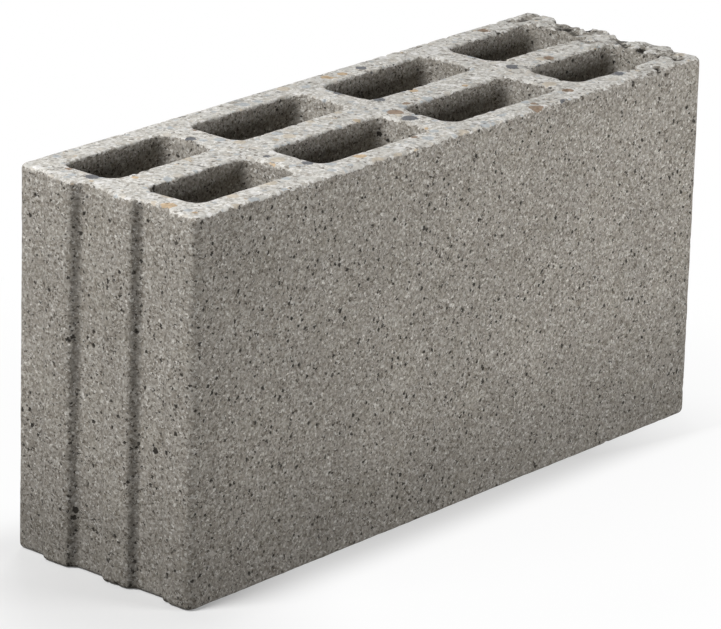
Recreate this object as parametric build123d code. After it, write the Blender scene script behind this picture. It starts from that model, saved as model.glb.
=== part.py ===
from build123d import *
import os

# A hollow concrete masonry block for thin joints, pressed as one piece, its top bed ground flat.
# Two rows of cells run right through it, and upright teeth on each end lock into the next block.
# Millimetres, +Z up, origin at the middle of the bottom bed. X runs along the wall, Y through it.
# Turned half round about its upright axis, the block is the same block.

# Overall sizes. The face length is the step from one block to the next along a course.
face_length = 495.0
block_width = 150.0
block_height = 249.0

# Shells and webs at the top bed. The end shell is measured at the gaps between the teeth.
side_shell = 19.5
centre_web = 25.0
end_shell = 17.5
cross_web = 20.5
end_cell_length = 91.5

# Cells. The draft is how far each cell wall leans in on its way down to the bottom bed.
cells_per_row = 4
cell_corner_radius = 9.0
core_draft = 1.5

# Teeth. The play is the width by which a tooth is narrower than the gap that takes it.
teeth_per_end = 3
tooth_pitch = 25.0
tooth_depth = 5.0
tooth_flank_run = 5.0
tooth_play = 1.0
tooth_edge_radius = 1.5

# Eased edges, and how far a core passes each bed that it opens.
upright_edge_radius = 5.0
top_arris_radius = 1.2
bottom_arris_radius = 1.5
core_overrun = 2.0

# Sizes that follow from the ones above.
overall_length = face_length + tooth_depth
tip_plane = overall_length / 2
gap_plane = tip_plane - tooth_depth
cell_width = (block_width - 2 * side_shell - centre_web) / 2
row_offset = (cell_width + centre_web) / 2
first_cell_start = end_shell - gap_plane
middle_cells_length = -2 * (first_cell_start + end_cell_length + cross_web)
middle_cells = cells_per_row - 2
middle_cell_length = (middle_cells_length - (middle_cells - 1) * cross_web) / middle_cells


# One end from the front corner to the back one: a tooth first, then a gap, and so on in turn.
def end_outline():
    depth_before, depth_after = tip_plane, gap_plane
    points = [(-depth_before, -block_width / 2)]
    for step in range(1 - teeth_per_end, teeth_per_end):
        tooth_side = 1 if depth_before > depth_after else -1
        flank_middle = step * tooth_pitch - tooth_side * tooth_play / 2
        points.append((-depth_before, flank_middle - tooth_flank_run / 2))
        points.append((-depth_after, flank_middle + tooth_flank_run / 2))
        depth_before, depth_after = depth_after, depth_before
    points.append((-depth_before, block_width / 2))
    return points


# The block seen from above: one end, and the same end turned half round.
def block_outline():
    near_end = end_outline()
    far_end = [(-x, -y) for x, y in near_end]
    outline = make_face(Polyline(*near_end, *far_end, close=True))
    rows = outline.vertices().group_by(Axis.Y)
    flanks = [vertex for row in rows[1:-1] for vertex in row]
    outline = fillet(flanks, tooth_edge_radius)
    rows = outline.vertices().group_by(Axis.Y)
    return fillet(rows[0] + rows[-1], upright_edge_radius)


# The outline drawn up to full height, with the arris of each bed eased all round.
def solid_block():
    body = extrude(block_outline(), block_height)
    body = fillet(body.faces().sort_by(Axis.Z)[-1].outer_wire().edges(), top_arris_radius)
    return fillet(body.faces().sort_by(Axis.Z)[0].outer_wire().edges(), bottom_arris_radius)


# One steel core of the mould. It is drawn out upwards, so it narrows towards the bottom bed.
def cell_core(length, centre_x, centre_y):
    sections = []
    for height in (-core_overrun, block_height + core_overrun):
        narrowing = 2 * core_draft * (block_height - height) / block_height
        section = RectangleRounded(length - narrowing, cell_width - narrowing, cell_corner_radius)
        sections.append(Pos(centre_x, centre_y, height) * section)
    return loft(sections, ruled=True)


# Both rows of cores. The cells at the ends are shorter than the ones between them.
def cell_cores():
    cores = []
    start = first_cell_start
    for number in range(cells_per_row):
        at_an_end = number in (0, cells_per_row - 1)
        length = end_cell_length if at_an_end else middle_cell_length
        for side in (-1, 1):
            cores.append(cell_core(length, start + length / 2, side * row_offset))
        start += length + cross_web
    return cores


concrete_block = solid_block() - cell_cores()
os.makedirs("parts", exist_ok=True)
export_step(concrete_block, "parts/concrete_block.step")
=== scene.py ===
import math
import bpy
import numpy as np
from mathutils import Matrix, Vector


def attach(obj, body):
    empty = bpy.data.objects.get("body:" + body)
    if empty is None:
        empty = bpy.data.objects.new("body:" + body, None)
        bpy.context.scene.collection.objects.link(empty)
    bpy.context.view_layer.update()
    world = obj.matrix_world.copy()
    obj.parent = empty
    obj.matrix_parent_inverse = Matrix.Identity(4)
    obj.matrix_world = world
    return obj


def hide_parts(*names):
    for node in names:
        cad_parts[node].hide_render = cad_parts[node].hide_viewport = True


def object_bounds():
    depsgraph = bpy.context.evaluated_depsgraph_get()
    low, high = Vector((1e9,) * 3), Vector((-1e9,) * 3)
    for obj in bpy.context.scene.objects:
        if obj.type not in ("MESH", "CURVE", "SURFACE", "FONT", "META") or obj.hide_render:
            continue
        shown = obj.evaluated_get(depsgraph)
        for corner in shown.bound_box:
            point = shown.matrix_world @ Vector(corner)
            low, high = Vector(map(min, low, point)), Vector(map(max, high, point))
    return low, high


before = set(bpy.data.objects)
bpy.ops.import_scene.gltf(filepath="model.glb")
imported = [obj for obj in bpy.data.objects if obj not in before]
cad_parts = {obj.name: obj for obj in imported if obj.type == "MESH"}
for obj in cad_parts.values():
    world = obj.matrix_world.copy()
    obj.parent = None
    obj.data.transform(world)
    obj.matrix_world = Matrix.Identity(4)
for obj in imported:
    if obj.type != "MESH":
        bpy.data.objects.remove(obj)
cadLow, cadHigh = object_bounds()
mm = 0.001
blockNode = "concrete_block"
print("stage: the packed block is loaded")


# Colours are written as sRGB hex and used as linear light.
def linearColour(hexText):
    channels = [int(hexText[i:i + 2], 16) / 255 for i in (1, 3, 5)]
    return [c / 12.92 if c <= 0.04045 else ((c + 0.055) / 1.055) ** 2.4 for c in channels] + [1.0]


def addObject(name, data):
    added = bpy.data.objects.new(name, data)
    bpy.context.scene.collection.objects.link(added)
    return added


# A new mesh, as the object's modifiers shape it.
def shapedMesh(shaped):
    depsgraph = bpy.context.evaluated_depsgraph_get()
    return bpy.data.meshes.new_from_object(shaped.evaluated_get(depsgraph))


# A smooth rise from 0 at low to 1 at high, or a fall where low is above high.
def smoothStep(low, high, values):
    t = np.clip((values - low) / (high - low), 0, 1)
    return t * t * (3 - 2 * t)


def between(first, last, share):
    return first + (last - first) * share


# Smooth random values between -1 and 1, drawn at the corners of a grid of cubes of this size.
def cloudNoise(points, size, seed):
    side = 64        # cubes each way before the grid repeats
    table = np.random.default_rng(seed).uniform(-1, 1, (side, side, side))
    scaled = points / size + side / 2
    corner = np.floor(scaled).astype(int)
    blend = scaled - corner
    blend = blend * blend * (3 - 2 * blend)
    total = np.zeros(len(points))
    for step in np.ndindex(2, 2, 2):
        share = np.where(step, blend, 1 - blend)
        cell = (corner + step) % side
        total += share[:, 0] * share[:, 1] * share[:, 2] * table[cell[:, 0], cell[:, 1], cell[:, 2]]
    return total


# The pressed block: how its skin and its edges depart from the mould's clean shape.
pressedBlock = {
    "netSize": 1.5 * mm,            # spacing of the net that carries the relief
    "triangles": 192000,            # what is left after flat stretches are thinned out
    "margin": 0.01 * mm,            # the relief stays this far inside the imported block's box
    "inwardPasses": 2,              # rounds of smoothing for the direction in which hollows go
    "seed": 41,                     # for bites, pits and voids. Each cloud has its own.
    "skinDepth": 0.22 * mm,         # the mean skin lies this far inside the mould's wall
    "grindDepth": 0.03 * mm,        # and the ground bed this far
    "bedReach": 0.6 * mm,           # what is this near the top, and level, is the ground bed
    "bedLevel": 0.8,
    "waves": ((60 * mm, 0.10 * mm), (9 * mm, 0.11 * mm), (3.5 * mm, 0.08 * mm)),  # size and depth
    "wavesSeed": 10,
    "cellReliefDepth": 75 * mm,     # below this the cell walls are plain
    "plainAboveFoot": 6 * mm,       # down to this height
    "cellsInside": (20 * mm, 12 * mm),  # how far the cells lie from the ends and from the sides

    # edges
    "wearPasses": (2, 7, 26),       # rounds of smoothing, one after another: eased, worn, broken
    "wearClouds": {"sizes": (24 * mm, 8 * mm), "seed": 3},
    "wearFrom": (-0.4, 0.6),        # the clouds' values between which wear sets in
    "wornShare": 0.42,
    "wornShareAtFoot": 0.2,
    "breakClouds": {"sizes": (13 * mm, 5 * mm), "seed": 5},
    "brokenFrom": 0.58,             # how rare broken stretches are, from 0 to 1
    "brokenFade": 0.25,
    "footBreaks": 0.25,             # how much rarer they are at the foot
    "poorEndBreaks": 0.42,          # and how much less rare at the badly filled end
    "footReach": (6 * mm, 14 * mm),  # the foot ends between these heights
    "topReach": (14 * mm, 4 * mm),  # and the top starts between these depths
    "toothWear": 0.15,              # how much of all this the teeth's upright edges have
    "toothReach": (9 * mm, 7 * mm),  # the teeth start between these distances from the block's ends
    "toothSides": (8 * mm, 12 * mm),    # and between these distances from its sides

    # the teeth's flanks, which are painted darker as shade
    "flankTurn": (0.25, 0.6),       # how much a flank faces both ways, along and across
    "flankTip": (0.6 * mm, 1.8 * mm),   # the painted shade fades out towards the tips
    "otherFlanks": 0.3,             # and is less on each tooth's other side
    "gapDepth": 3.5 * mm,           # deeper than this it spreads to the net's next points
    "flankReach": (7 * mm, 9 * mm),  # it stops this far in from the ends and short of the sides

    # the far end's bed, which the mould's filling left short of the grinding plane
    "poorFill": 0.62,               # where that starts, as a share of half the length
    "poorFillFull": 1.02,
    "poorFillDepth": 2.0 * mm,
    "poorFillReach": (8 * mm, 1 * mm),  # the sinking starts between these depths
    "crumbSizes": (11 * mm, 5 * mm),
    "crumbSeed": 21,
    "smallCrumbs": 0.45,
    "crumbRise": 0.3,               # how much of the bed sinks there, from -1 to 1
    "crumbStray": 0.08,             # how raggedly it starts
    "wholeCorner": 16 * mm,         # the far front corner kept its shape over this reach
    "wholeCornerFade": (0.4, 1.3),
    "shoulderFrom": 95 * mm,        # from here to the far end the front arris was left low
    "shoulderRunIn": 60 * mm,
    "shoulderWidth": 6 * mm,
    "shoulderDepth": 1.5 * mm,
    "shoulderStray": 2 * mm,
    "sunkenShade": 0.75,           # how much painted shade the deepest sunken places get, as in a hollow
    "sunkenFrom": (0.55, 1.1),      # from these shares of the depth

    # small pieces lost from the edges
    "bites": 240,
    "biteRadius": (1.1 * mm, 3.2 * mm),
    "biteSizes": (0.45, 1),
    "biteDepth": 0.4,               # this depth and the ones below are shares of the radius
    "bitesAtFoot": 0.25,            # how likely at the foot, against 1.25 higher up
    "edgePull": 0.25 * mm,          # a point is on an edge where easing moves it this far

    # open pores big enough to be shapes, crowded in places
    "pits": 430,
    "pitRadius": (1.3 * mm, 2.3 * mm),
    "pitDepth": 0.45,
    "pitClouds": 26 * mm,
    "pitSeed": 31,
    "pitsFrom": (-0.35, 0.6),
    "pitsElsewhere": 0.06,

    # stones torn out of the ground bed, more and larger towards the badly filled end
    "bedVoids": 50,
    "voidRadius": (1.5 * mm, 2.7 * mm),
    "voidDepth": 0.6,
    "voidsFrom": (0.0, 0.95),       # places along the bed are shares of half the length
    "voidsElsewhere": 0.12,
    "tornRadius": 3.2 * mm,         # how much wider they get
    "tornFrom": (0.55, 0.95),
    "tornVoids": 14,                # the largest ones are all at that end
    "tornVoidRadius": (2.4 * mm, 4.4 * mm),
    "tornVoidDepth": 0.8,
    "tornVoidsFrom": (0.62, 0.92),
    "bowlPower": 0.7,               # below 1 a hollow has a flat floor and steep sides
}


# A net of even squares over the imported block.
def netOverBlock():
    shell = addObject("shell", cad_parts[blockNode].data.copy())
    remesh = shell.modifiers.new("net", "REMESH")
    remesh.mode = "VOXEL"
    remesh.voxel_size = pressedBlock["netSize"]
    net = shapedMesh(shell)
    bpy.data.objects.remove(shell)
    return net


def readNet(net):
    points = np.zeros(len(net.vertices) * 3)
    net.vertices.foreach_get("co", points)
    edges = np.zeros(len(net.edges) * 2, np.int32)
    net.edges.foreach_get("vertices", edges)
    normals = np.zeros(len(net.vertices) * 3, np.float32)
    net.vertex_normals.foreach_get("vector", normals)
    return points.reshape(-1, 3), edges.reshape(-1, 2), normals.reshape(-1, 3).astype(float)


# Moves every point to the middle of its neighbours, a number of times over.
def smoothed(points, edges, rounds):
    first, second = edges[:, 0], edges[:, 1]
    count = np.bincount(edges.ravel(), minlength=len(points))[:, None]
    for _ in range(rounds):
        total = np.stack([
            np.bincount(first, points[second, axis], len(points))
            + np.bincount(second, points[first, axis], len(points))
            for axis in range(3)], 1)
        points = total / count
    return points


# 0 at the far front corner, which is whole, and 1 everywhere else.
def awayFromWholeCorner(points):
    corner = np.array([cadHigh.x, cadLow.y])
    away = np.linalg.norm(points[:, :2] - corner, axis=1) / pressedBlock["wholeCorner"]
    return smoothStep(*pressedBlock["wholeCornerFade"], away)


# Large and small clouds together, which draw where edges are worn or broken.
def edgeClouds(points, kind):
    largeShare, smallShare = 0.6, 0.5
    large, small = kind["sizes"]
    return (cloudNoise(points, large, kind["seed"]) * largeShare
            + cloudNoise(points, small, kind["seed"] + 1) * smallShare)


# 1 on the teeth's upright edges, and 0 near the beds and on the rest of the block.
def onTeeth(points, atTheTop, atTheFoot):
    reachLow, reachHigh = pressedBlock["toothReach"]
    sideLow, sideHigh = pressedBlock["toothSides"]
    teeth = smoothStep(cadHigh.x - reachLow, cadHigh.x - reachHigh, np.abs(points[:, 0]))
    teeth *= smoothStep(cadHigh.y - sideLow, cadHigh.y - sideHigh, np.abs(points[:, 1]))
    teeth *= (1 - atTheTop) * (1 - atTheFoot)
    return teeth


# Eases every outward edge, wears some stretches more and breaks a few right down. Also gives how
# far the easing alone pulls each point, which tells where the edges are.
def wearEdges(points, edges, normals):
    easeRounds, wearRounds, breakRounds = pressedBlock["wearPasses"]
    eased = smoothed(points, edges, easeRounds)
    worn = smoothed(eased, edges, wearRounds)
    broken = smoothed(worn, edges, breakRounds)
    footLow, footHigh = pressedBlock["footReach"]
    topLow, topHigh = pressedBlock["topReach"]
    atTheFoot = smoothStep(footHigh, footLow, points[:, 2])
    atTheTop = smoothStep(cadHigh.z - topLow, cadHigh.z - topHigh, points[:, 2])

    wornMost = between(pressedBlock["wornShare"], pressedBlock["wornShareAtFoot"], atTheFoot)
    wornClouds = edgeClouds(points, pressedBlock["wearClouds"])
    wornShare = smoothStep(*pressedBlock["wearFrom"], wornClouds) * wornMost

    towardsPoorEnd = smoothStep(pressedBlock["poorFill"], 1.0, points[:, 0] / cadHigh.x)
    poorEnd = towardsPoorEnd * atTheTop * awayFromWholeCorner(points)
    brokenFrom = pressedBlock["brokenFrom"] + pressedBlock["footBreaks"] * atTheFoot
    brokenFrom -= pressedBlock["poorEndBreaks"] * poorEnd
    breaks = edgeClouds(points, pressedBlock["breakClouds"])
    brokenShare = smoothStep(0, pressedBlock["brokenFade"], breaks - brokenFrom)

    target = between(eased, worn, wornShare[:, None])
    target = between(target, broken, brokenShare[:, None])
    share = between(1, pressedBlock["toothWear"], onTeeth(points, atTheTop, atTheFoot))
    move = (target - points) * share[:, None]
    move[(move * normals).sum(1) > 0] = 0
    return points + move, eased - points


# How much painted shade each point gets on the teeth's flanks.
def shadedFlanks(points, edges, normals):
    along, across = np.abs(points[:, 0]), np.abs(points[:, 1])
    turn = pressedBlock["flankTurn"]
    tipLow, tipHigh = pressedBlock["flankTip"]
    endReach, sideReach = pressedBlock["flankReach"]
    dragged = smoothStep(*turn, np.abs(normals[:, 1])) * smoothStep(*turn, np.abs(normals[:, 0]))
    dragged *= smoothStep(cadHigh.x - tipLow, cadHigh.x - tipHigh, along)
    dragged[normals[:, 0] * normals[:, 1] < 0] *= pressedBlock["otherFlanks"]
    spread = dragged.copy()
    for one, other in ((0, 1), (1, 0)):
        np.maximum.at(spread, edges[:, one], dragged[edges[:, other]])
    inGap = along < cadHigh.x - pressedBlock["gapDepth"]
    dragged[inGap] = spread[inGap]
    dragged[(along < cadHigh.x - endReach) | (across > cadHigh.y - sideReach)] = 0
    return dragged


# The walls inside the cells, too deep to be seen well, which stay plain.
def deepInCells(points):
    fromEnds, fromSides = pressedBlock["cellsInside"]
    return (
        (np.abs(points[:, 0]) < cadHigh.x - fromEnds)
        & (np.abs(points[:, 1]) < cadHigh.y - fromSides)
        & (points[:, 2] < cadHigh.z - pressedBlock["cellReliefDepth"])
        & (points[:, 2] > pressedBlock["plainAboveFoot"]))


# The faint waves of the faces.
def waveSkin(points, inward, onBed, deepInside):
    relief = np.full(len(points), pressedBlock["skinDepth"])
    for number, (size, depth) in enumerate(pressedBlock["waves"]):
        relief += cloudNoise(points, size, pressedBlock["wavesSeed"] + number) * depth
    relief[deepInside] = pressedBlock["skinDepth"]
    relief[onBed] = pressedBlock["grindDepth"]
    return points + inward * np.maximum(relief, 0)[:, None]


# Lowers the badly filled end and the front arris beside it, and gives how much painted shade each
# point gets, as in a hollow.
def sinkPoorEnd(points):
    largeCrumb, smallCrumb = pressedBlock["crumbSizes"]
    seed = pressedBlock["crumbSeed"]
    crumbs = cloudNoise(points, largeCrumb, seed)
    crumbs += pressedBlock["smallCrumbs"] * cloudNoise(points, smallCrumb, seed + 1)
    along = points[:, 0] / cadHigh.x + pressedBlock["crumbStray"] * crumbs
    poor = smoothStep(pressedBlock["poorFill"], pressedBlock["poorFillFull"], along)
    topLow, topHigh = pressedBlock["poorFillReach"]
    atTheTop = smoothStep(cadHigh.z - topLow, cadHigh.z - topHigh, points[:, 2])
    whole = awayFromWholeCorner(points)
    fullDepth = pressedBlock["poorFillDepth"]
    sink = np.maximum(0, crumbs + pressedBlock["crumbRise"]) * poor * atTheTop * whole * fullDepth

    across = points[:, 1] - pressedBlock["shoulderStray"] * crumbs
    shoulder = smoothStep(cadLow.y + pressedBlock["shoulderWidth"], cadLow.y, across)
    start = pressedBlock["shoulderFrom"]
    shoulder *= smoothStep(start, start + pressedBlock["shoulderRunIn"], points[:, 0])
    sink = np.maximum(sink, shoulder * atTheTop * whole * pressedBlock["shoulderDepth"])
    points[:, 2] -= sink
    return pressedBlock["sunkenShade"] * smoothStep(*pressedBlock["sunkenFrom"], sink / fullDepth)


def pickPlaces(random, places, count, likely):
    return random.choice(places, count, replace=False, p=likely / likely.sum())


# Presses round-floored hollows in along the skin's own inward direction. Gives how deep in a
# hollow each point lies, from 0 to 1.
def pressHollows(points, inward, centres, radii, depthShare):
    hollow = np.zeros(len(points))
    order = np.argsort(points[:, 0])
    sortedX = points[order, 0]
    for centre, radius in zip(centres, radii):
        low, high = np.searchsorted(sortedX, (centre[0] - radius, centre[0] + radius))
        slab = order[low:high]
        away = np.linalg.norm(points[slab] - centre, axis=1) / radius
        near = slab[away < 1]
        bowl = (1 - away[away < 1] ** 2) ** pressedBlock["bowlPower"]
        points[near] += inward[near] * (radius * depthShare * bowl)[:, None]
        hollow[near] = np.maximum(hollow[near], bowl)
    return hollow


def biteEdges(points, inward, normals, edgePull, random):
    onEdge = np.linalg.norm(edgePull, axis=1) > pressedBlock["edgePull"]
    outward = (edgePull * normals).sum(1) < 0
    edgeNet = np.flatnonzero(onEdge & outward)
    likely = pressedBlock["bitesAtFoot"] + smoothStep(*pressedBlock["footReach"], points[edgeNet, 2])
    chosen = pickPlaces(random, edgeNet, pressedBlock["bites"], likely)
    radii = random.uniform(*pressedBlock["biteRadius"], len(chosen))
    radii *= random.uniform(*pressedBlock["biteSizes"], len(chosen))
    pressHollows(points, inward, points[chosen], radii, pressedBlock["biteDepth"])


def openPits(points, inward, faces, random):
    crowding = cloudNoise(points[faces], pressedBlock["pitClouds"], pressedBlock["pitSeed"])
    likely = smoothStep(*pressedBlock["pitsFrom"], crowding) + pressedBlock["pitsElsewhere"]
    chosen = pickPlaces(random, faces, pressedBlock["pits"], likely)
    radii = random.uniform(*pressedBlock["pitRadius"], len(chosen))
    return pressHollows(points, inward, points[chosen], radii, pressedBlock["pitDepth"])


def tearOutStones(points, inward, bed, random):
    along = points[bed, 0] / cadHigh.x
    likely = smoothStep(*pressedBlock["voidsFrom"], along) + pressedBlock["voidsElsewhere"]
    chosen = pickPlaces(random, bed, pressedBlock["bedVoids"], likely)
    torn = smoothStep(*pressedBlock["tornFrom"], points[chosen, 0] / cadHigh.x)
    torn *= random.uniform(0, 1, len(chosen))
    radii = random.uniform(*pressedBlock["voidRadius"], len(chosen))
    radii += pressedBlock["tornRadius"] * torn
    hollow = pressHollows(points, inward, points[chosen], radii, pressedBlock["voidDepth"])

    likely = smoothStep(*pressedBlock["tornVoidsFrom"], points[bed, 0] / cadHigh.x)
    chosen = pickPlaces(random, bed, pressedBlock["tornVoids"], likely)
    radii = random.uniform(*pressedBlock["tornVoidRadius"], len(chosen))
    largest = pressHollows(points, inward, points[chosen], radii, pressedBlock["tornVoidDepth"])
    return np.maximum(hollow, largest)


# Shapes the net in place, and marks on it how hollow each point is and how much painted shade it
# gets on the teeth's flanks.
def shapeNet(net):
    points, edges, normals = readNet(net)
    random = np.random.default_rng(pressedBlock["seed"])
    nearTop = points[:, 2] > cadHigh.z - pressedBlock["bedReach"]
    onBed = nearTop & (normals[:, 2] > pressedBlock["bedLevel"])
    dragged = shadedFlanks(points, edges, normals)
    points, edgePull = wearEdges(points, edges, normals)
    inward = smoothed(-normals, edges, pressedBlock["inwardPasses"])
    inward /= np.linalg.norm(inward, axis=1)[:, None]
    print("stage: edges worn")

    deepInside = deepInCells(points)
    points = waveSkin(points, inward, onBed, deepInside)
    hollow = sinkPoorEnd(points)
    biteEdges(points, inward, normals, edgePull, random)
    pits = openPits(points, inward, np.flatnonzero(~onBed & ~deepInside), random)
    voids = tearOutStones(points, inward, np.flatnonzero(onBed), random)
    hollow = np.maximum(hollow, np.maximum(pits, voids))
    print("stage: skin, pits and voids pressed in")

    margin = pressedBlock["margin"]
    points = np.clip(points, np.array(cadLow) + margin, np.array(cadHigh) - margin)
    net.vertices.foreach_set("co", points.ravel())
    for name, values in (("hollow", hollow), ("dragged", dragged)):
        mark = net.attributes.new(name, "FLOAT", "POINT")
        mark.data.foreach_set("value", values.astype(np.float32))
    net.update()


def makeBlock():
    net = netOverBlock()
    print("stage: net of", len(net.vertices), "points")
    shapeNet(net)
    block = addObject("pressedBlock", net)
    thin = block.modifiers.new("thin", "DECIMATE")
    thin.ratio = min(1, pressedBlock["triangles"] / (2 * len(net.polygons)))
    mesh = shapedMesh(block)
    block.modifiers.clear()
    block.data = mesh
    bpy.data.meshes.remove(net)
    mesh.shade_smooth()
    mesh.materials.clear()
    print("stage: block shaped,", len(mesh.polygons), "faces")
    return block


def emptyTree(owner):
    owner.use_nodes = True
    owner.node_tree.nodes.clear()
    return owner.node_tree


# Adds a node with its settings and its links. A link is written as (node, output name).
def addNode(tree, kind, settings=None, inputs=None):
    node = tree.nodes.new(kind)
    for name, value in (settings or {}).items():
        setattr(node, name, value)
    for name, value in (inputs or {}).items():
        if isinstance(value, tuple) and hasattr(value[0], "outputs"):
            tree.links.new(value[0].outputs[value[1]], node.inputs[name])
        else:
            node.inputs[name].default_value = value
    return node


def setStops(ramp, stops, interpolation="LINEAR"):
    ramp.interpolation = interpolation
    while len(ramp.elements) > len(stops):
        ramp.elements.remove(ramp.elements[-1])
    while len(ramp.elements) < len(stops):
        ramp.elements.new(1)
    for element, (place, colour) in zip(ramp.elements, stops):
        element.position = place
        element.color = linearColour(colour)


# Open-textured pressed concrete: a dry mix of sand and fine gravel, squeezed and shaken in a steel
# mould. The eye gets a dull warm grey of fine grains with many small dark pores. The bed was ground
# flat through stone and cement alike, so it is pale and smooth and shows the gravel, like terrazzo.
concreteLook = {
    "roughness": 0.93,
    "refraction": 1.5,
    "specular": 0.15,

    # sand and cement
    "sandSize": 1.2 * mm,           # coarser than most of the real sand, which is too fine to show
    "sandTones": (
        (0.0, "#5C554D"), (0.10, "#827C73"), (0.5, "#9C978F"), (0.9, "#B0ACA5"), (1.0, "#D2CFC9")),
    "crumbSize": 2.4 * mm,
    "crumbDetail": 3.0,
    "crumbRoughness": 0.65,
    "crumbSpread": (0.25, 0.75),    # the clouds' values between which the tone runs
    "crumbTone": (0.64, 1.36),
    "mottle": {"size": 42 * mm, "values": (0.94, 1.06), "detail": 3.0},
    "tint": "#918C7D",              # a faint olive tinge that comes and goes
    "tintShare": {"size": 24 * mm, "values": (0.0, 0.15), "spread": (0.45, 0.75), "detail": 2.0},
    "footShade": 0.72,               # painted shade: the faces are darker towards the foot
    "footShadeHeight": 105 * mm,
    "straySize": 1.5 * mm,
    "strayDetail": 2.0,
    "crookedness": 3.3 * mm,        # how far pores and stones stray from round

    # pores, whose dark colour is painted shade: their spacing, the share of spaces that have one,
    # their radii and how fully they cover what is under them, and the same for stones
    "poreShade": "#2B2824",
    "pores": (
        {"space": 13 * mm, "share": 0.50, "radius": (1.0 * mm, 2.2 * mm), "cover": 0.95},
        {"space": 6 * mm, "share": 0.60, "radius": (0.5 * mm, 1.5 * mm), "cover": 0.90},
        {"space": 3.2 * mm, "share": 0.78, "radius": (0.25 * mm, 1.0 * mm), "cover": 0.82},
    ),
    "poreEdge": 0.22 * mm,
    "poreFull": 1.1,                # the draw that gives the largest radius
    "poreCrowd": {"size": 15 * mm, "values": (-0.28, 0.28)},
    "hollowFrom": (0.4, 0.9),       # how far in the net's hollows the painted shade sets in
    "hollowShadeMost": 0.96,
    "flankShadeTone": 0.68,            # painted shade on the teeth's flanks
    # the shaded flanks also get more pores, whose colour is painted shade too
    "flankShadeCrowd": 0.30,

    # grit and stones of the ground bed
    "bedPores": 0.45,               # how much painted shade shows in the pores that the grinding cut through
    "bedTone": (0.73, 1.21),
    "patches": {"size": 9 * mm, "values": (0.90, 1.10)},    # paler and duller ones
    "gritSize": 1.9 * mm,
    "gritTones": (
        (0.0, "#77726B"), (0.07, "#B2ADA5"), (0.45, "#CBC8C1"), (0.8, "#D8D6D1"), (1.0, "#E1DFDB")),
    "stoneEdge": 0.35 * mm,
    "stoneFull": 1.0,
    "stones": (                     # a radius range, because the grinding cuts some near their tops
        {"space": 4.2 * mm, "share": 0.80, "radius": (0.5 * mm, 2.3 * mm), "cover": 0.92, "tones": (
            (0.0, "#D3D1CC"), (0.22, "#BAB6AF"), (0.42, "#CBC5BB"), (0.54, "#B9BCBD"),
            (0.66, "#E2E0DD"), (0.76, "#A8A299"), (0.86, "#8A857D"), (0.93, "#C0B19D"),
            (0.965, "#63605C"))},
        {"space": 8 * mm, "share": 0.72, "radius": (1.0 * mm, 4.2 * mm), "cover": 0.92, "tones": (
            (0.0, "#CDCBC5"), (0.22, "#B5B9BB"), (0.40, "#C6C0B6"), (0.55, "#E0DEDB"),
            (0.68, "#A9A9A7"), (0.79, "#8B8781"), (0.87, "#5E5F60"), (0.92, "#C3B39B"),
            (0.965, "#8C7765"))},
        {"space": 14 * mm, "share": 0.60, "radius": (2.0 * mm, 5.8 * mm), "cover": 0.92, "tones": (
            (0.0, "#CFCCC5"), (0.30, "#B3B7B9"), (0.50, "#DCDAD6"), (0.66, "#C5BBAB"),
            (0.77, "#63656A"), (0.87, "#917C68"), (0.93, "#C3AA8A"))},
    ),

    # the height from which the pale ground bed and its broken arris show
    "arris": {
        "size": 6 * mm, "values": (cadHigh.z - 0.35 * mm, cadHigh.z - 2.4 * mm),
        "spread": (0.35, 0.65), "detail": 3.0, "roughness": 0.6},
    "arrisFade": (-0.2 * mm, 0.15 * mm),

    # relief too fine for the net
    "grainRelief": 0.35,
    "poreRelief": -1.2,
    "bumpStrength": (0.75, 0.08),   # on the pressed faces and on the ground bed
    "bumpDepth": 0.5 * mm,
}


# Clouds of this size, as a number that runs between two values.
def softClouds(tree, here, size, values, spread=(0.3, 0.7), detail=1.0, roughness=0.5):
    noise = addNode(tree, "ShaderNodeTexNoise", {}, {
        "Vector": here, "Scale": 1 / size, "Detail": detail, "Roughness": roughness})
    number = addNode(tree, "ShaderNodeMapRange", {}, {
        "Value": (noise, "Fac"), "From Min": spread[0], "From Max": spread[1],
        "To Min": values[0], "To Max": values[1]})
    return number, "Result"


# Round spots with radii drawn by chance, more and larger ones where crowding is above 0. Gives how
# much a spot covers each point, and the node that holds each spot's draws.
def scatteredSpots(tree, crooked, layer, edge, full, crowding=None):
    space = layer["space"]
    least = 1 - layer["share"]
    spots = addNode(tree, "ShaderNodeTexVoronoi", {}, {"Vector": crooked, "Scale": 1 / space})
    draws = addNode(tree, "ShaderNodeSeparateColor", {}, {"Color": (spots, "Color")})
    chance = (draws, "Green")
    if crowding:
        crowded = addNode(tree, "ShaderNodeMath", {"operation": "ADD"}, {0: chance, 1: crowding})
        chance = (crowded, "Value")
    radius = addNode(tree, "ShaderNodeMapRange", {}, {
        "Value": chance, "From Min": least, "From Max": full,
        "To Min": layer["radius"][0] / space, "To Max": layer["radius"][1] / space})
    taken = addNode(tree, "ShaderNodeMath", {"operation": "GREATER_THAN"}, {0: chance, 1: least})
    inside = addNode(tree, "ShaderNodeMath", {"operation": "SUBTRACT"}, {
        0: (radius, "Result"), 1: (spots, "Distance")})
    spot = addNode(tree, "ShaderNodeMapRange", {"interpolation_type": "SMOOTHSTEP"}, {
        "Value": (inside, "Value"), "From Max": edge / space, "To Max": layer["cover"]})
    shown = addNode(tree, "ShaderNodeMath", {"operation": "MULTIPLY"}, {
        0: (spot, "Result"), 1: (taken, "Value")})
    return (shown, "Value"), draws


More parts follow.
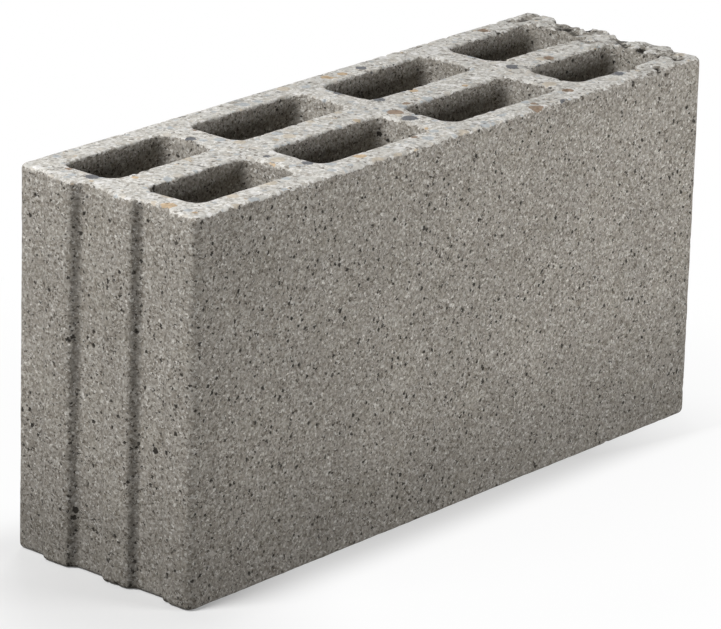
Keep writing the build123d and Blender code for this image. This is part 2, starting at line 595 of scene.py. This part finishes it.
# What the patterns read: places on the block, grains, crumbs, and the marks on the net.
def patternSources(tree):
    look = concreteLook
    here = (addNode(tree, "ShaderNodeTexCoord"), "Object")
    stray = addNode(tree, "ShaderNodeTexNoise", {}, {
        "Vector": here, "Scale": 1 / look["straySize"], "Detail": look["strayDetail"]})
    crooked = addNode(tree, "ShaderNodeVectorMath", {"operation": "MULTIPLY_ADD"}, {
        0: (stray, "Color"), 1: [look["crookedness"]] * 3, 2: here})
    sand = addNode(tree, "ShaderNodeTexVoronoi", {}, {
        "Vector": (crooked, "Vector"), "Scale": 1 / look["sandSize"]})
    sandDraws = addNode(tree, "ShaderNodeSeparateColor", {}, {"Color": (sand, "Color")})
    crumb = addNode(tree, "ShaderNodeTexNoise", {}, {
        "Vector": here, "Scale": 1 / look["crumbSize"],
        "Detail": look["crumbDetail"], "Roughness": look["crumbRoughness"]})
    split = addNode(tree, "ShaderNodeSeparateXYZ", {}, {"Vector": here})
    # how much painted shade the teeth's flanks get
    dragged = addNode(tree, "ShaderNodeAttribute", {"attribute_name": "dragged"})
    hollow = addNode(tree, "ShaderNodeAttribute", {"attribute_name": "hollow"})
    # The cores of the net's hollows are painted with shade.
    hollowShade = addNode(tree, "ShaderNodeMapRange", {"interpolation_type": "SMOOTHSTEP"}, {
        "Value": (hollow, "Fac"), "From Min": look["hollowFrom"][0],
        "From Max": look["hollowFrom"][1], "To Max": look["hollowShadeMost"]})
    return {
        "here": here, "crooked": (crooked, "Vector"), "height": (split, "Z"),
        "grain": (sandDraws, "Red"), "crumb": (crumb, "Fac"),
        "dragged": (dragged, "Fac"), "hollowShade": (hollowShade, "Result")}


# A tone that follows the crumbs, from one value to another.
def crumbTone(tree, source, tones):
    spread = concreteLook["crumbSpread"]
    tone = addNode(tree, "ShaderNodeMapRange", {}, {
        "Value": source["crumb"], "From Min": spread[0], "From Max": spread[1],
        "To Min": tones[0], "To Max": tones[1]})
    return tone, "Result"


# Sand and cement of the pressed faces, with painted shade on the teeth's flanks and towards the
# foot.
def skinColour(tree, source):
    look = concreteLook
    sand = addNode(tree, "ShaderNodeValToRGB", {}, {"Fac": source["grain"]})
    setStops(sand.color_ramp, look["sandTones"])
    tinted = addNode(tree, "ShaderNodeMix", {"data_type": "RGBA"}, {
        "Factor": softClouds(tree, source["here"], **look["tintShare"]),
        "A": (sand, "Color"), "B": linearColour(look["tint"])})
    mottled = addNode(tree, "ShaderNodeMath", {"operation": "MULTIPLY"}, {
        0: crumbTone(tree, source, look["crumbTone"]),
        1: softClouds(tree, source["here"], **look["mottle"])})
    # The teeth's flanks are painted darker, as shade.
    flankShadeTone = addNode(tree, "ShaderNodeMapRange", {}, {
        "Value": source["dragged"], "To Min": 1.0, "To Max": look["flankShadeTone"]})
    # Painted shade, darker towards the foot.
    footShade = addNode(tree, "ShaderNodeMapRange", {"interpolation_type": "SMOOTHSTEP"}, {
        "Value": source["height"], "From Max": look["footShadeHeight"],
        "To Min": look["footShade"], "To Max": 1.0})
    # The painted shade of the flanks and of the foot, together.
    paintedShade = addNode(tree, "ShaderNodeMath", {"operation": "MULTIPLY"}, {
        0: (flankShadeTone, "Result"), 1: (footShade, "Result")})
    tone = addNode(tree, "ShaderNodeMath", {"operation": "MULTIPLY"}, {
        0: (mottled, "Value"), 1: (paintedShade, "Value")})
    skin = addNode(tree, "ShaderNodeVectorMath", {"operation": "SCALE"}, {
        0: (tinted, "Result"), "Scale": (tone, "Value")})
    return skin, "Vector"


# How open the skin is, painted as shade: pores, closer together in some places and on the shaded
# flanks, and the net's own hollows.
def poreOpenness(tree, source):
    look = concreteLook
    crowding = addNode(tree, "ShaderNodeMath", {"operation": "MULTIPLY_ADD"}, {
        0: source["dragged"], 1: look["flankShadeCrowd"],
        2: softClouds(tree, source["here"], **look["poreCrowd"])})
    openness = source["hollowShade"]
    for layer in look["pores"]:
        shown, _ = scatteredSpots(
            tree, source["crooked"], layer, look["poreEdge"], look["poreFull"], (crowding, "Value"))
        openness = (addNode(tree, "ShaderNodeMath", {"operation": "MAXIMUM"}, {
            0: openness, 1: shown}), "Value")
    return openness


# Grit, stones and cut pores of the ground bed, with painted shade in the cut pores and the hollows.
def bedColour(tree, source, openness):
    look = concreteLook
    grit = addNode(tree, "ShaderNodeTexVoronoi", {}, {
        "Vector": source["crooked"], "Scale": 1 / look["gritSize"]})
    gritDraws = addNode(tree, "ShaderNodeSeparateColor", {}, {"Color": (grit, "Color")})
    gritTones = addNode(tree, "ShaderNodeValToRGB", {}, {"Fac": (gritDraws, "Blue")})
    setStops(gritTones.color_ramp, look["gritTones"])
    bed = (gritTones, "Color")
    for layer in look["stones"]:
        shown, draws = scatteredSpots(
            tree, source["crooked"], layer, look["stoneEdge"], look["stoneFull"])
        stone = addNode(tree, "ShaderNodeValToRGB", {}, {"Fac": (draws, "Blue")})
        setStops(stone.color_ramp, layer["tones"], "CONSTANT")
        bed = (addNode(tree, "ShaderNodeMix", {"data_type": "RGBA"}, {
            "Factor": shown, "A": bed, "B": (stone, "Color")}), "Result")
    tone = addNode(tree, "ShaderNodeMath", {"operation": "MULTIPLY"}, {
        0: crumbTone(tree, source, look["bedTone"]),
        1: softClouds(tree, source["here"], **look["patches"])})
    toned = addNode(tree, "ShaderNodeVectorMath", {"operation": "SCALE"}, {
        0: bed, "Scale": (tone, "Value")})
    cutPores = addNode(tree, "ShaderNodeMath", {"operation": "MULTIPLY"}, {
        0: openness, 1: look["bedPores"]})
    dark = addNode(tree, "ShaderNodeMath", {"operation": "MAXIMUM"}, {
        0: (cutPores, "Value"), 1: source["hollowShade"]})
    opened = addNode(tree, "ShaderNodeMix", {"data_type": "RGBA"}, {
        "Factor": (dark, "Value"), "A": (toned, "Vector"), "B": linearColour(look["poreShade"])})
    return opened, "Result"


# 1 on the ground bed and its broken arris, and 0 below them, where all is as it was pressed.
def groundShare(tree, source):
    look = concreteLook
    aboveArris = addNode(tree, "ShaderNodeMath", {"operation": "SUBTRACT"}, {
        0: source["height"], 1: softClouds(tree, source["here"], **look["arris"])})
    share = addNode(tree, "ShaderNodeMapRange", {"interpolation_type": "SMOOTHSTEP"}, {
        "Value": (aboveArris, "Value"),
        "From Min": look["arrisFade"][0], "From Max": look["arrisFade"][1]})
    return share, "Result"


# Grains stand out and pores go in, much less so on the ground bed.
def fineRelief(tree, source, openness, ground):
    look = concreteLook
    grains = addNode(tree, "ShaderNodeMath", {"operation": "MULTIPLY_ADD"}, {
        0: source["grain"], 1: look["grainRelief"], 2: source["crumb"]})
    relief = addNode(tree, "ShaderNodeMath", {"operation": "MULTIPLY_ADD"}, {
        0: openness, 1: look["poreRelief"], 2: (grains, "Value")})
    strength = addNode(tree, "ShaderNodeMapRange", {}, {
        "Value": ground, "To Min": look["bumpStrength"][0], "To Max": look["bumpStrength"][1]})
    bump = addNode(tree, "ShaderNodeBump", {}, {
        "Height": (relief, "Value"), "Strength": (strength, "Result"),
        "Distance": look["bumpDepth"]})
    return bump, "Normal"


def concreteMaterial():
    look = concreteLook
    material = bpy.data.materials.new("groundPressedConcrete")
    tree = emptyTree(material)
    source = patternSources(tree)
    openness = poreOpenness(tree, source)
    ground = groundShare(tree, source)
    # Pores and the net's hollows are painted with shade.
    pressed = addNode(tree, "ShaderNodeMix", {"data_type": "RGBA"}, {
        "Factor": openness, "A": skinColour(tree, source), "B": linearColour(look["poreShade"])})
    colour = addNode(tree, "ShaderNodeMix", {"data_type": "RGBA"}, {
        "Factor": ground, "A": (pressed, "Result"), "B": bedColour(tree, source, openness)})
    shader = addNode(tree, "ShaderNodeBsdfPrincipled", {}, {
        "Base Color": (colour, "Result"), "Roughness": look["roughness"],
        "IOR": look["refraction"], "Specular IOR Level": look["specular"],
        "Normal": fineRelief(tree, source, openness, ground)})
    addNode(tree, "ShaderNodeOutputMaterial", {}, {"Surface": (shader, "BSDF")})
    return material


block = makeBlock()
block.data.materials.append(concreteMaterial())
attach(block, "root")
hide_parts(blockNode)
print("stage: concrete finished")


# The studio: a pale floor that fades into a white background, and soft lamps at a plain level. One
# stands high on the left, one low in front, as the photo's shades say, and one behind for the far
# sides. Places and sizes are in metres.
studio = {
    "seenFloor": "#DDDDDD",         # the floor as the camera sees it
    "litFloor": "#6F6D6A",          # the floor as it throws light back on the block
    "floorSize": 6.0,
    "dimPlace": (-0.33, -0.02, 0),  # beside the near end the floor is seen as it is
    "dimReach": (0.02, 0.21),       # and elsewhere more and more of the white shows in it:
    "whiteShares": (0.50, 0.94),    # at the block's foot, and from footReach on
    "footReach": 0.04,
    "whiteAlong": (-0.05, 0.30),    # along the block the floor turns white towards the far end
    "fade": (0.25, 0.46),           # it turns all white between these distances from the middle
    "worldLight": 0.002,
    "aim": (0, 0, 0.12),
    "lamps": {                      # where each stands, its width and its power in watts
        "leftLamp": {"place": (-1.50, 0.35, 1.62), "size": 0.8, "power": 49},
        "frontLamp": {"place": (0.25, -0.90, 0.29), "size": 0.42, "power": 6.5},
        "rearLamp": {"place": (1.50, 1.40, 0.80), "size": 0.9, "power": 20},
    },
}


# 1 for what the camera sees, itself or by gloss or through glass, and 0 for light on the block.
def lookingRay(tree):
    lightPath = addNode(tree, "ShaderNodeLightPath")
    direct = addNode(tree, "ShaderNodeMath", {"operation": "MAXIMUM"}, {
        0: (lightPath, "Is Camera Ray"), 1: (lightPath, "Is Glossy Ray")})
    looking = addNode(tree, "ShaderNodeMath", {"operation": "MAXIMUM"}, {
        0: (direct, "Value"), 1: (lightPath, "Is Transmission Ray")})
    return looking, "Value"


# How much of the white background shows in the floor, from place to place.
def floorWhiteness(tree):
    place = (addNode(tree, "ShaderNodeTexCoord"), "Object")
    fromDimPlace = addNode(tree, "ShaderNodeVectorMath", {"operation": "DISTANCE"}, {
        0: place, 1: studio["dimPlace"]})
    notDim = addNode(tree, "ShaderNodeMapRange", {"interpolation_type": "SMOOTHSTEP"}, {
        "Value": (fromDimPlace, "Value"),
        "From Min": studio["dimReach"][0], "From Max": studio["dimReach"][1]})

    mirrored = addNode(tree, "ShaderNodeVectorMath", {"operation": "ABSOLUTE"}, {0: place})
    past = addNode(tree, "ShaderNodeVectorMath", {"operation": "SUBTRACT"}, {
        0: (mirrored, "Vector"), 1: (cadHigh.x, cadHigh.y, 0)})
    outside = addNode(tree, "ShaderNodeVectorMath", {"operation": "MAXIMUM"}, {
        0: (past, "Vector"), 1: (0, 0, 0)})
    fromFoot = addNode(tree, "ShaderNodeVectorMath", {"operation": "LENGTH"}, {
        0: (outside, "Vector")})
    footShare = addNode(tree, "ShaderNodeMapRange", {"interpolation_type": "SMOOTHSTEP"}, {
        "Value": (fromFoot, "Value"), "From Max": studio["footReach"],
        "To Min": studio["whiteShares"][0], "To Max": studio["whiteShares"][1]})
    notDimShare = addNode(tree, "ShaderNodeMath", {"operation": "MULTIPLY"}, {
        0: (footShare, "Result"), 1: (notDim, "Result")})

    split = addNode(tree, "ShaderNodeSeparateXYZ", {}, {"Vector": place})
    farShare = addNode(tree, "ShaderNodeMapRange", {"interpolation_type": "SMOOTHSTEP"}, {
        "Value": (split, "X"), "From Min": studio["whiteAlong"][0],
        "From Max": studio["whiteAlong"][1], "To Max": studio["whiteShares"][1]})
    nearShare = addNode(tree, "ShaderNodeMath", {"operation": "MAXIMUM"}, {
        0: (notDimShare, "Value"), 1: (farShare, "Result")})
    reach = addNode(tree, "ShaderNodeVectorMath", {"operation": "LENGTH"}, {0: place})
    whiteness = addNode(tree, "ShaderNodeMapRange", {"interpolation_type": "SMOOTHSTEP"}, {
        "Value": (reach, "Value"), "From Min": studio["fade"][0], "From Max": studio["fade"][1],
        "To Min": (nearShare, "Value"), "To Max": 1.0})
    return whiteness, "Result"


def floorMaterial():
    material = bpy.data.materials.new("paleFloor")
    tree = emptyTree(material)
    looking = lookingRay(tree)
    seen = addNode(tree, "ShaderNodeMath", {"operation": "MULTIPLY"}, {
        0: floorWhiteness(tree), 1: looking})
    floorColour = addNode(tree, "ShaderNodeMix", {"data_type": "RGBA"}, {
        "Factor": looking,
        "A": linearColour(studio["litFloor"]), "B": linearColour(studio["seenFloor"])})
    paint = addNode(tree, "ShaderNodeBsdfDiffuse", {}, {"Color": (floorColour, "Result")})
    white = addNode(tree, "ShaderNodeEmission", {}, {"Strength": 1.0})
    mixed = addNode(tree, "ShaderNodeMixShader", {}, {
        0: (seen, "Value"), 1: (paint, "BSDF"), 2: (white, "Emission")})
    addNode(tree, "ShaderNodeOutputMaterial", {}, {"Surface": (mixed, "Shader")})
    return material


def makeFloor():
    half = studio["floorSize"] / 2
    corners = [(-half, -half, 0), (half, -half, 0), (half, half, 0), (-half, half, 0)]
    mesh = bpy.data.meshes.new("studioFloor")
    mesh.from_pydata(corners, [], [(0, 1, 2, 3)])
    mesh.materials.append(floorMaterial())
    floor = addObject("studioFloor", mesh)


def makeLamps():
    aim = Vector(studio["aim"])
    for name, lamp in studio["lamps"].items():
        place = Vector(lamp["place"])
        data = bpy.data.lights.new(name, "AREA")
        data.shape = "SQUARE"
        data.size = lamp["size"]
        data.energy = lamp["power"]
        lampObject = addObject(name, data)
        lampObject.location = place
        lampObject.rotation_euler = (aim - place).to_track_quat("-Z", "Y").to_euler()
        lampObject.visible_camera = False


def makeWorld():
    world = bpy.data.worlds.new("whiteStudio")
    bpy.context.scene.world = world
    tree = emptyTree(world)
    allWhite = (1, 1, 1, 1)
    soft = addNode(tree, "ShaderNodeBackground", {}, {
        "Color": allWhite, "Strength": studio["worldLight"]})
    white = addNode(tree, "ShaderNodeBackground", {}, {"Color": allWhite, "Strength": 1.0})
    mixed = addNode(tree, "ShaderNodeMixShader", {}, {
        0: lookingRay(tree), 1: (soft, "Background"), 2: (white, "Background")})
    addNode(tree, "ShaderNodeOutputWorld", {}, {"Surface": (mixed, "Shader")})


# The camera stands where the photo's did: a long lens, looking down on the near left corner.
camera = {
    "lens": 248.0,
    "sensorWidth": 36.0,
    "distance": 3.2111,
    "aim": (0.0225, 0.0261, 0.0990),
    "heading": 49.993,     # degrees from +Y towards +X
    "dip": 18.974,         # degrees below the horizon
    "roll": -1.650,
}


def makeCamera():
    heading, dip, roll = (math.radians(camera[name]) for name in ("heading", "dip", "roll"))
    level = math.cos(dip)
    forward = Vector((level * math.sin(heading), level * math.cos(heading), -math.sin(dip)))
    right = forward.cross(Vector((0, 0, 1))).normalized()
    down = forward.cross(right)
    turnedRight = math.cos(roll) * right + math.sin(roll) * down
    turnedDown = -math.sin(roll) * right + math.cos(roll) * down
    data = bpy.data.cameras.new("photoCamera")
    data.sensor_fit = "HORIZONTAL"
    data.sensor_width = camera["sensorWidth"]
    data.lens = camera["lens"]
    cameraObject = addObject("photoCamera", data)
    axes = Matrix((turnedRight, -turnedDown, -forward)).transposed().to_4x4()
    place = Vector(camera["aim"]) - camera["distance"] * forward
    cameraObject.matrix_world = Matrix.Translation(place) @ axes
    bpy.context.scene.camera = cameraObject


makeFloor()
makeLamps()
makeWorld()
makeCamera()
bpy.context.scene.view_settings.view_transform = "Standard"
print("stage: studio ready")
